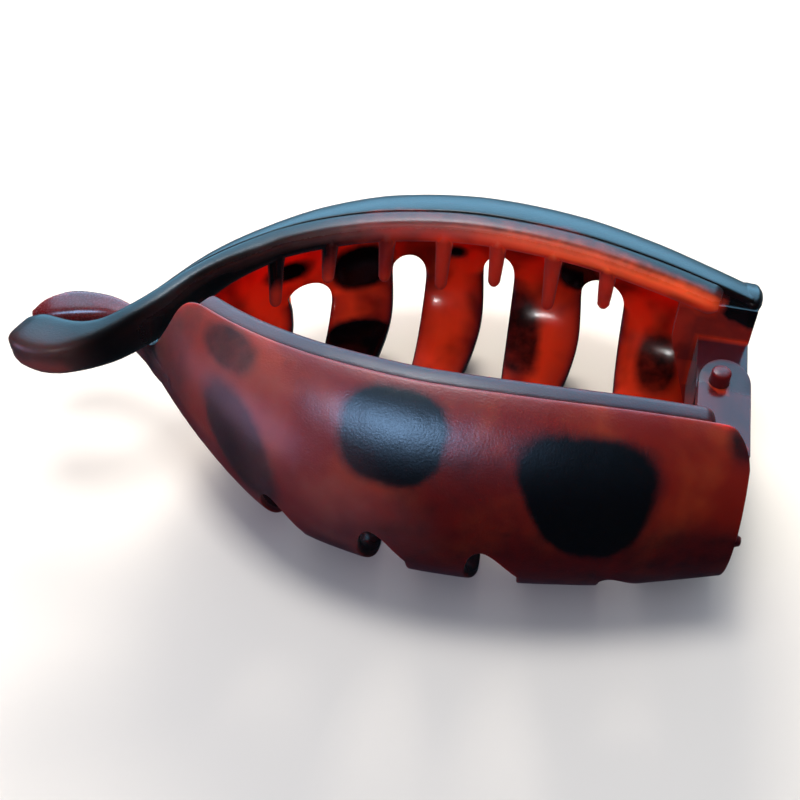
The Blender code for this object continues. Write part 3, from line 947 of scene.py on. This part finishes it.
@dataclass
class Hinge:
    """Sizes of the hinge that the two jaws share. A lug is its low and high level and how far it reaches."""

    pin_x: float = 57.9
    pin_radius: float = 1.4
    pin_ease: float = 0.3
    pin_tone: float = 0.5
    bore_radius: float = 1.5
    pin_top: float = -8.0
    pin_bottom: float = -27.6
    pin_sides: int = 48
    lug_root: float = 13.3
    lug_half_width: float = 3.7
    lug_offset: float = 0.8
    near_top_lug: Place = (-12.4, -10.1, 4.6)
    far_knuckle: Place = (-23.5, -12.7, 3.0)
    near_low_lug: Place = (-26.6, -23.8, 3.0)
    web_out: tuple[float, float] = (11.6, 14.0)
    plate_x: tuple[float, float] = (60.0, 61.5)
    plate_angles: tuple[float, float] = (60.0, -84.0)

    def lug(self, side: Side, size: Place) -> Skin:
        """Level plate from the web to the pin, its free end half an ellipse about the pin.

        Args:
            side: the jaw.
            size: low level, high level and reach past the middle plane.

        Returns:
            The plate.
        """
        low, high, reach = size
        turn = np.linspace(0.0, math.pi, 33)
        middle = self.pin_x + self.lug_offset
        x = middle - self.lug_half_width * np.cos(turn)
        y = -side.value * reach * np.sin(turn)
        root = np.array([[middle + self.lug_half_width, side.value * self.lug_root],
                         [middle - self.lug_half_width, side.value * self.lug_root]])
        return prism(np.concatenate([root, np.stack([x, y], axis=1)]), low, high, 2)

    def end_plate(self, side: Side, section: Section) -> Skin:
        """Plate that closes the bulge of the shell at the hinge end.

        Args:
            side: the jaw.
            section: the section whose middle depth the plate's outline follows.

        Returns:
            The plate.
        """
        angles = np.linspace(*self.plate_angles, 25)
        points = section.point(side, np.full(25, self.plate_x[1]), angles, np.full(25, 0.5 * section.wall))
        return prism(points[:, 1:], *self.plate_x, 0)

    def upright(self, profile: Rows, spare: float = 0.0) -> Skin:
        """Turned body on the pin's axis, carried past the pin's ends by what is spare."""
        x, low, high = self.pin_x, self.pin_bottom - spare, self.pin_top + spare
        return Turned(profile, (x, 0.0, low), (x, 0.0, high), self.pin_sides).skin()

    def bore(self) -> Skin:
        """Round hole that the pin runs in."""
        return self.upright(((self.bore_radius, 0.0), (self.bore_radius, 1.0)), spare=2.0)

    def build_pin(self) -> bpy.types.Object:
        """Make the pin, with its two ends eased by a quarter of a sine, and give it a plain finish.

        Returns:
            The pin, without its material.
        """
        length = self.pin_top - self.pin_bottom
        low = [(self.pin_radius - self.pin_ease * (1 - math.sin(0.5 * math.pi * e)),
                self.pin_ease * e / length) for e in np.linspace(0.0, 1.0, 5)]
        high = [(r, 1.0 - z) for r, z in reversed(low)]
        pin = self.upright(tuple(low + high)).body("hinge_pin_turned")
        pin.data.shade_smooth()
        pin.data.set_sharp_from_angle(angle=PIN_CRISP_ANGLE)
        # The pin takes the painted edge shade over all of it, as a darker tone
        values = {"cloud": -CLOUD_LIMIT, "painted_glow": 0.0, "dust_and_sheen": 0.0, "inside": 0.0, "edge": self.pin_tone}
        count = len(pin.data.vertices)
        write_finish(pin, {name: np.full(count, value) for name, value in values.items()})
        return pin


@dataclass
class Jaw:
    """One moulding: shell, rail with pegs, hinge fittings and tail, fused into one piece.

    The tones say how far each part takes the darker colour that is painted as shade on cut edges, over the
    whole part.
    """

    name: str
    side: Side
    node: str
    slot: str
    section: Section
    hinge: Hinge
    shell: Shell
    rail_path: Rows
    web: Rows
    lugs: Rows
    clouds_and_shade: tuple[Blotch, ...]
    painted_glows: tuple[Blotch, ...]
    dust_and_sheen_patches: tuple[Blotch, ...]
    lug_tone: float
    tail_path: Rows = ()
    brim: Rows = ()
    gate_mark: Rows = ()
    rail_tone: float = 0.0
    plate_tone: float = 0.55
    tail_tone: float = 0.0
    peg_tone: float = 0.55
    gate_tone: float = 0.6
    tail_polish: float = 0.0
    web_ease: float = 0.1
    plate_ease: float = 0.3
    lug_ease: float = 0.35
    peg_inset: float = 1.65
    peg_lean: float = 3.2
    polish_depth: float = 0.6
    polish_rise: float = 1.0
    inside_fade: float = 6.0
    tail_fade: float = 4.0
    dust_and_sheen_most: float = 0.6
    pegs: Rows = ((-10.2, 7.4), (-2.4, 4.8), (6.1, 5.8), (14.8, 7.3), (23.1, 5.4), (31.7, 7.8), (40.1, 4.4))

    def peg(self, x: float, length: float) -> Skin:
        """Tapered peg that hangs from the rail and leans inwards, with a round tip.

        Args:
            x: its place along the clip.
            length: how far it hangs below the rail.

        Returns:
            The peg.
        """
        along = np.linspace(0.0, 0.9, 7)
        radius = np.interp(along, (0.0, 0.35, 0.92), (1.6, 1.25, 0.95))
        round_end = np.linspace(0.0, 0.48 * math.pi, 6)[1:]
        tip = radius[-1]
        reach = length + 0.5 * RAIL_HEIGHT
        share = tip / reach
        along = np.concatenate([along, 1.0 - share + share * np.sin(round_end)])
        radius = np.concatenate([radius, tip * np.cos(round_end)])
        order = np.argsort(along, kind="stable")
        gap, rim_z = (float(self.section.read(name, np.array([x]))[0]) for name in ("near_gap", "rim_z"))
        y = gap - self.peg_inset
        z = rim_z - RAIL_DROP - 0.5 * RAIL_HEIGHT
        rows = tuple(zip(radius[order].tolist(), along[order].tolist()))
        end = (x, self.side.value * (y - self.peg_lean), z - reach)
        return Turned(rows, (x, self.side.value * y, z), end, 16).skin()

    def brim_skin(self) -> Skin:
        """Rounded ridge on the rim's corner: a super-ellipse in angle and depth at each x.

        Returns:
            The ridge, from rows of x, upper and lower angle, outer and inner depth.
        """
        rows = np.array(self.brim)
        x = np.linspace(rows[0, 0], rows[-1, 0], 14)
        top, low, outer, inner = (smooth_column(rows[:, 0], column, x)[:, None] for column in rows.T[1:])
        turn = 2.0 * math.pi * np.arange(32) / 32
        angle = 0.5 * (top + low) + 0.5 * (top - low) * squared_off(np.cos(turn), 0.55)
        depth = 0.5 * (outer + inner) - 0.5 * (inner - outer) * squared_off(np.sin(turn), 0.7)
        return tube(self.section.point(self.side, np.repeat(x[:, None], 32, axis=1), angle, depth))

    def build(self) -> bpy.types.Object:
        """Make every part of the moulding and fuse them.

        Returns:
            The finished piece, with its clouds charted.
        """
        base = self.shell.skin().body(f"{self.name}_shell")
        smooth = base.modifiers.new("smooth", "SUBSURF")
        smooth.levels = smooth.render_levels = 2
        rail = Bar(self.rail_path, flip=self.side.value, paddle_square=0.44, start_dome=2.3, end_dome=0.9)
        rows = [("rail", rail.skin(), self.rail_tone, 0.0)]
        if self.tail_path:
            rows.append(("tail", Bar(self.tail_path).skin(), self.tail_tone, 0.0))
        if self.brim:
            rows.append(("brim", self.brim_skin(), 0.0, 0.0))
        if self.gate_mark:
            mark = Bar(self.gate_mark, step=0.3, sides=16, start_dome=0.4)
            rows.append(("gate_mark", mark.skin(), self.gate_tone, 0.0))
        low, high = sorted(self.side.value * out for out in self.hinge.web_out)
        rows.append(("web", prism(np.array(self.web), low, high, 1), self.plate_tone, self.web_ease))
        rows.append(("end", self.hinge.end_plate(self.side, self.section), self.plate_tone, self.plate_ease))
        rows += [(f"lug_{i}", self.hinge.lug(self.side, size), self.lug_tone, self.lug_ease)
                 for i, size in enumerate(self.lugs)]
        rows += [(f"peg_{i}", self.peg(*row), self.peg_tone, 0.0) for i, row in enumerate(self.pegs)]
        parts = []
        for name, skin, tone, ease in rows:
            part = skin.toned(tone).body(f"{self.name}_{name}", DICE if ease else 0.0)
            parts.append(bevelled(part, ease) if ease else part)
        bore = self.hinge.bore().body(f"{self.name}_bore")
        piece = fuse(self.name, base, [(Union.JOIN, parts), (Union.CUT, [bore])])
        self.chart_finish(piece)
        return piece

    def chart_finish(self, piece: bpy.types.Object) -> None:
        """Keep the clouds and painted shade, the painted glow, the dusting and painted sheen, and the polish
        of the inside at the mesh's points.

        Args:
            piece: the fused moulding.
        """
        flat = np.empty(len(piece.data.vertices) * 3, np.float32)
        piece.data.vertices.foreach_get("co", flat)
        points = flat.reshape(-1, 3).astype(float) / MM - SHIFT
        x = points[:, 0]
        angle, depth = self.section.chart(self.side, points)
        cloud, painted_glow, dust_and_sheen = (np.max([chart.field(x, angle, depth) for chart in charts], axis=0)
                              for charts in (self.clouds_and_shade, self.painted_glows, self.dust_and_sheen_patches))
        polished = smooth_step((depth - self.polish_depth) / self.polish_rise)
        write_finish(piece, {
            "cloud": np.clip(cloud, -CLOUD_LIMIT, CLOUD_LIMIT),
            "painted_glow": smooth_step(0.5 * painted_glow + 0.5),
            "dust_and_sheen": self.dust_and_sheen_most * smooth_step(0.5 * dust_and_sheen + 0.5),
            # The inside's share sets its polish and also the painted glow red of the inner faces
            "inside": np.maximum(polished * smooth_step((x - TAIL_X) / self.inside_fade),
                                 self.tail_polish * smooth_step((TAIL_X - x) / self.tail_fade)),
        })


def rail_rows(section: Section, start: float, end: float) -> Rows:
    """Path of the rounded rail just inside the rim, with rows no further apart than its step.

    Args:
        section: the section whose rim it follows.
        start: x at the hinge end.
        end: x at the tail.

    Returns:
        Rows of x, y, top, width and height.
    """
    x = np.linspace(start, end, int(math.ceil((start - end) / RAIL_STEP)) + 1)
    y = section.read("near_gap", x) - RAIL_INSET
    top = section.read("rim_z", x) - RAIL_DROP
    return tuple((float(a), float(b), float(c), RAIL_WIDTH, RAIL_HEIGHT) for a, b, c in zip(x, y, top))


def far_jaw(section: Section, hinge: Hinge) -> Jaw:
    """The far moulding, whose rail runs on as the upper tail and its paddle.

    Args:
        section: the shared section.
        hinge: the shared hinge.

    Returns:
        The jaw, ready to build.
    """
    tail = (
        (-12.0, 7.95, -2.45, 4.1, 4.3), (-16.6, 4.3, -3.0, 3.5, 5.4), (-20.4, 0.2, -3.4, 3.2, 6.8),
        (-24.2, -5.9, -3.6, 3.8, 7.4), (-26.8, -9.2, -3.9, 3.8, 7.5), (-29.8, -12.2, -4.4, 4.4, 7.1),
        (-33.3, -14.2, -4.7, 6.2, 6.5), (-37.0, -14.9, -5.0, 7.8, 6.3), (-39.8, -14.5, -5.1, 7.9, 6.0),
        (-41.3, -14.1, -5.3, 7.0, 5.4), (-42.2, -13.8, -5.7, 5.6, 4.4),
    )
    shell = Shell(
        side=Side.FAR, section=section, swell=1.6, slot_tops=(-24.0, -12.0, -9.0, -9.0),
        teeth=((-20.8, -12.5, -13.5), (-5.5, 3.5, -3.5), (9.7, 19.2, 12.0), (24.9, 36.4, 28.0),
               (44.0, 54.5, 47.0)),
        upper_edge=((-26.0, 60.0), (-23.0, 90.0), (61.8, 90.0)),
        lower_edge=((-26.0, 5.0), (-25.0, -30.0), (-23.4, -55.0), (-20.8, -68.0), (-17.5, -90.0),
                    (-15.0, -150.0), (48.5, -150.0), (54.5, -92.0), (61.8, -88.0)),
    )
    clouds_and_shade = (
        Blotch(-38, 0, 16, 900, 3, most=-0.75),
        Blotch(-38, 86, 17, 36, 2.2, to_depth=3, most=1.4),
        Blotch(22, 83, 46, 10, 0.8, to_depth=1.6, most=-0.05),
        Blotch(-22, 60, 13, 80, 2.5, to_depth=0.9),
        Blotch(-23, 120, 10.5, 45, 1.8),
        Blotch(58.5, 140, 7, 50, from_depth=3.5, most=-0.6),
        Blotch(-8, 66, 22, 20, 0.8, to_depth=0.9),
        Blotch(20, 60, 20, 26, 0.8, to_depth=0.9),
        Blotch(48, 68, 20, 19, 0.8, to_depth=0.9),
        Blotch(-14, 92, 16, 14, 2),
        Blotch(-1, -17, 4.6, 15, 0.9),
        Blotch(0, -78, 7, 22, 0.9),
        Blotch(27, -60, 3.2, 28, lean=-0.04, most=0.1),
        Blotch(35.6, -10, 3.3, 9.5, 0.8),
        Blotch(14.6, -8.5, 1.2, 3.2, 0.5),
        Blotch(50.7, -54, 2.8, 20, most=0.1),
        # Painted shadow of the first peg on the inner wall
        Blotch(-12, -10, 2.6, 7, 0.8),
        Blotch(61.8, 60, 3.2, 36, to_depth=2.6),
        # Painted shade in the corner under the rim, between the rail's end and the hinge end
        Blotch(61.6, 96, 4, 26, 0.9, power=3, to_depth=3.3),
        Blotch(19, 36, 7.5, 16, 1.2),
        Blotch(44, 20, 6, 18, 1.2),
        Blotch(-8, -110, 6, 24, 1.2),
        Blotch(14, -128, 5, 20, 1.2),
    )
    return Jaw(
        name="far_jaw_moulding", side=Side.FAR, node="far_jaw", slot="far_jaw", section=section,
        hinge=hinge, shell=shell, rail_path=rail_rows(section, 55.2, -9.5) + tail,
        web=((51.2, -6.0), (62.55, -6.4), (62.55, -31.2), (56.5, -31.6), (51.2, -14.0)),
        lugs=(hinge.far_knuckle,), lug_tone=0.95, clouds_and_shade=clouds_and_shade,
        # Painted glow and highlight on the far rail, brightest towards its hinge end
        painted_glows=(Blotch(39.5, 101, 19, 12, 1.4, power=3.5, to_depth=2.3),),
        # A painted reflection on the paddle's side and a painted highlight streak along the rail
        dust_and_sheen_patches=(Blotch(-40, 150, 9, 50, 5), Blotch(14, 103, 27, 12, 2, to_depth=2.3, most=0.9)),
        brim=((60.0, 80.0, 34.0, 0.6, 1.8), (61.2, 84.0, 30.0, -0.2, 2.9), (62.5, 83.0, 33.0, -0.3, 3.0),
              (63.2, 74.0, 42.0, 0.4, 2.4)),
    )


def near_jaw(section: Section, hinge: Hinge) -> Jaw:
    """The near moulding, with the lower tail and its paddle.

    Args:
        section: the shared section.
        hinge: the shared hinge.

    Returns:
        The jaw, ready to build.
    """
    shell = Shell(
        side=Side.NEAR, section=section, swell=1.9, arch=20.0, skew=0.5, slot_tops=(-3.0, 4.0, 3.0, -17.0),
        teeth=((-12.0, -4.0, -9.5), (2.6, 11.6, 5.5), (18.4, 26.6, 20.5), (33.8, 44.3, 36.5),
               (50.8, 58.5, 53.0)),
        upper_edge=((-31.0, 12.5), (-26.5, 13.5), (-25.4, 16.0), (-24.2, 23.5), (-23.2, 32.5), (-22.2, 42.0),
                    (-21.4, 50.0), (-20.5, 64.0), (-18.8, 78.0), (-16.0, 90.0), (55.0, 90.0), (57.8, 86.0),
                    (59.6, 80.5), (60.8, 73.0), (61.5, 65.0), (61.8, 57.0)),
        lower_edge=((-31.0, -12.0), (-29.0, -38.0), (-27.0, -55.0), (-25.0, -66.0), (-18.0, -80.0),
                    (-13.5, -91.0), (-11.0, -150.0), (54.5, -150.0), (58.5, -92.0), (61.8, -88.0)),
    )
    clouds_and_shade = (
        Blotch(-10.3, 65, 3.9, 10.5, 0.9, lean=0.02, most=0.1),
        Blotch(-6.8, 18, 5.3, 27, 1.1, lean=-0.1),
        Blotch(15.3, 55, 6.9, 22, 0.8, power=2.8),
        Blotch(41.6, 35, 8.2, 30, 1.1, lean=-0.05, power=2.7, taper=0.33),
        # Painted shade: the outside darker towards the bottom, where little light reaches
        Blotch(56, -30, 13, 46, 3, lean=-0.05, most=-0.3),
        Blotch(30, -52, 26, 65, 3, most=-0.4),
        Blotch(27.5, 26, 7, 18, 3, most=-0.5),
        # Painted shade along the hinge end, on the shell's edge and the lug's right side, where light through
        # the wall would glow
        Blotch(62.8, 85, 2.6, 70, 0.9, from_depth=2, most=-0.8),
        Blotch(61.2, 80, 2, 16, to_depth=1.6, most=0.1),
        # Painted shade, a thin dark outline on the shell's upper corner at the tail end, where light through
        # the wall would glow
        Blotch(-19.5, 72, 2.5, 25, 1.2, most=-0.7),
        # Painted shade in the crevice under the crossing of the tails
        Blotch(-24, 30, 5, 34, 2.5, most=-0.35),
        Blotch(-25.5, 10, 5, 40, 0.8, from_depth=1.4),
        # Painted shade on the claws, standing for their shadow
        Blotch(22, -105, 52, 48, 3, from_depth=0.8, most=0.1),
        Blotch(22, -128, 52, 36, 2, most=0.1),
        Blotch(24.5, -52, 3, 15, 1.4),
        Blotch(5, -110, 5.5, 26, 1.3),
        Blotch(36, -120, 5.5, 22, 1.3),
    )
    tail = (
        (-20.5, -12.5, -11.9, 2.2, 5.6), (-23.5, -8.2, -11.7, 5.0, 6.4), (-27.8, -4.8, -11.7, 4.2, 6.2),
        (-32.0, -1.9, -11.7, 4.2, 5.6), (-36.5, -0.9, -11.8, 5.4, 5.2), (-41.0, -1.4, -11.9, 6.2, 4.8),
        (-43.0, -2.2, -12.1, 5.6, 4.5), (-44.6, -3.0, -12.4, 4.6, 3.9), (-45.7, -3.6, -12.8, 3.2, 3.0),
        (-46.3, -3.9, -13.1, 1.8, 2.0),
    )
    return Jaw(
        name="near_jaw_moulding", side=Side.NEAR, node="near_jaw", slot="near_jaw", section=section,
        hinge=hinge, shell=shell, rail_path=rail_rows(section, 54.8, -16.2), tail_path=tail,
        web=((51.2, -6.0), (57.5, -6.6), (61.4, -9.6), (61.4, -31.2), (56.5, -31.6), (51.2, -14.0)),
        lugs=(hinge.near_top_lug, hinge.near_low_lug), clouds_and_shade=clouds_and_shade,
        # A faint warm tint over the outside's upper left, in the painted-glow colour
        painted_glows=(Blotch(-13, 46, 10, 30, 5, to_depth=1, most=-0.58),),
        # A pale dusting with painted sheen over the outside's upper left
        dust_and_sheen_patches=(Blotch(-14, 12, 22, 66, 8, to_depth=1), Blotch(7, 6, 13, 24, 3, to_depth=1)),
        rail_tone=0.86, lug_tone=0.85, tail_tone=0.72, tail_polish=0.45,
        gate_mark=((60.9, -23.3, -15.2, 1.6, 1.8), (61.6, -23.3, -15.2, 1.6, 1.8),
                   (62.2, -23.3, -15.4, 1.2, 1.4)),
    )


@dataclass(frozen=True)
class Lamp:
    """A square soft light that faces the clip: place and size in metres, power in watts.

    A lamp with a piece's name is flagged so that it reaches that piece alone.
    """

    name: str
    place: Place
    size: float
    power: float
    colour: str
    reach: Reach = Reach.BOTH
    only: str = ""


@dataclass
class Studio:
    """Pale floor, soft lights and the camera at the photograph's angle."""

    target: Place = (2.7, 0.0, 9.16)
    distance: float = 184.0
    elevation: float = 48.0
    azimuth: float = 11.9
    lens: float = 52.2
    clip_z: float = 0.015
    floor_colour: str = "#e9e8e6"
    sky_colour: str = "#dfe6ee"
    lamps: tuple[Lamp, ...] = (
        Lamp("overhead_softbox", (-0.04, 0.04, 0.6), 0.2, 1.9, "#fffaf2", Reach.MATT),
        Lamp("overhead_strip", (-0.08, 0.3, 0.5), 0.12, 1.3, "#ffffff", Reach.GLOSS),
        Lamp("back_softbox", (-0.1, 0.5, 0.2), 0.25, 6.5, "#fff2e2", Reach.MATT),
        Lamp("sky_panel_back", (-0.08, 0.55, 0.33), 0.92, 20.5, "#6fa6c6", Reach.GLOSS),
        Lamp("low_left_fill", (-0.5, -0.3, 0.1), 0.3, 1.6, "#b9a4d6"),
        Lamp("front_catchlight", (-0.07, -0.38, 0.35), 0.012, 0.3, "#ffffff", Reach.GLOSS,
             "far_jaw_moulding"),
        Lamp("front_fill", (0.05, -0.36, 0.5), 0.25, 2.0, "#fff4ec", Reach.MATT, "far_jaw_moulding"),
        Lamp("sky_panel_left", (-0.14, -0.22, 0.52), 0.2, 4.8, "#94bcea", Reach.GLOSS, "near_jaw_moulding"),
    )

    def add_camera(self) -> None:
        """Place the camera on its line through the target."""
        e, a = math.radians(self.elevation), math.radians(self.azimuth)
        away = Vector((math.cos(e) * math.sin(a), -math.cos(e) * math.cos(a), math.sin(e)))
        data = bpy.data.cameras.new("camera")
        data.lens = self.lens
        data.sensor_width = 36.0
        data.clip_start = 0.01
        camera = bpy.data.objects.new("camera", data)
        camera.location = (Vector(self.target) + away * self.distance) * MM
        camera.rotation_euler = away.to_track_quat("Z", "Y").to_euler()
        bpy.context.scene.collection.objects.link(camera)
        bpy.context.scene.camera = camera

    def add_floor(self) -> None:
        """Lay a pale floor under the clip, seen by the camera but not in gloss or as bounced light."""
        mesh = bpy.data.meshes.new("floor")
        mesh.from_pydata([(-3, -3, 0), (3, -3, 0), (3, 3, 0), (-3, 3, 0)], [], [(0, 1, 2, 3)])
        floor = bpy.data.objects.new("floor", mesh)
        bpy.context.scene.collection.objects.link(floor)
        material = bpy.data.materials.new("pale floor")
        material.use_nodes = True
        shader = material.node_tree.nodes["Principled BSDF"]
        shader.inputs["Base Color"].default_value = linear(self.floor_colour)
        shader.inputs["Roughness"].default_value = 0.9
        shader.inputs["Specular IOR Level"].default_value = 0.0
        mesh.materials.append(material)
        floor.visible_glossy = floor.visible_diffuse = False

    def add_sky(self) -> None:
        """Set a pale sky that is nearly dark below the horizon and isn't seen in gloss."""
        world = bpy.data.worlds.new("studio")
        world.use_nodes = True
        tree = world.node_tree
        sky = tree.nodes["Background"]
        sky.inputs["Color"].default_value = linear(self.sky_colour)
        height = add_node(tree, "SeparateXYZ", "Z", Vector=add_node(tree, "TexCoord", "Generated"))
        strength = add_node(tree, "MapRange", Value=height, From_Min=-0.12, From_Max=0.0,
                            To_Min=0.02, To_Max=0.5)
        tree.links.new(strength, sky.inputs["Strength"])
        world.cycles_visibility.glossy = False
        bpy.context.scene.world = world

    def light(self, piece: bpy.types.Object | None = None) -> None:
        """Add the lamps that reach everything, or those that reach one piece alone.

        Args:
            piece: the one piece, or none.
        """
        for lamp in self.lamps:
            if lamp.only != (piece.name if piece else ""):
                continue
            data = bpy.data.lights.new(lamp.name, "AREA")
            data.size = lamp.size
            data.energy = lamp.power
            data.color = linear(lamp.colour)[:3]
            light = bpy.data.objects.new(lamp.name, data)
            light.location = lamp.place
            light.visible_diffuse, light.visible_glossy = lamp.reach.value
            light.visible_camera = False
            aim = Vector(lamp.place) - Vector((0.0, 0.0, self.clip_z))
            light.rotation_euler = aim.to_track_quat("Z", "Y").to_euler()
            bpy.context.scene.collection.objects.link(light)
            if piece:
                lit = bpy.data.collections.new(f"{lamp.name}_on")
                lit.objects.link(piece)
                light.light_linking.receiver_collection = lit

    def build(self) -> None:
        """Set up camera, floor, sky and the lamps that reach everything."""
        self.add_camera()
        self.add_floor()
        self.add_sky()
        bpy.context.scene.view_settings.view_transform = "Standard"
        self.light()


def main() -> None:
    """Load the frame, build each piece in order and report it."""
    logging.basicConfig(level=logging.INFO, format="%(name)s: %(message)s")
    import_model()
    studio = Studio()
    studio.build()
    section, hinge = Section(), Hinge()
    for jaw, body in ((far_jaw(section, hinge), "far"), (near_jaw(section, hinge), "near")):
        piece = jaw.build()
        piece.data.materials.append(TortoiseshellPlastic(f"{jaw.node} tortoiseshell acetate").make())
        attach(piece, body)
        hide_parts(jaw.node)
        studio.light(piece)
        LOG.info("%s: %d faces", piece.name, len(piece.data.polygons))
    pin = hinge.build_pin()
    pin.data.materials.append(TortoiseshellPlastic("hinge pin tortoiseshell acetate").make())
    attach(pin, "far")
    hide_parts("hinge_pin")
    LOG.info("%s: %d faces", pin.name, len(pin.data.polygons))


if __name__ == "__main__":
    main()
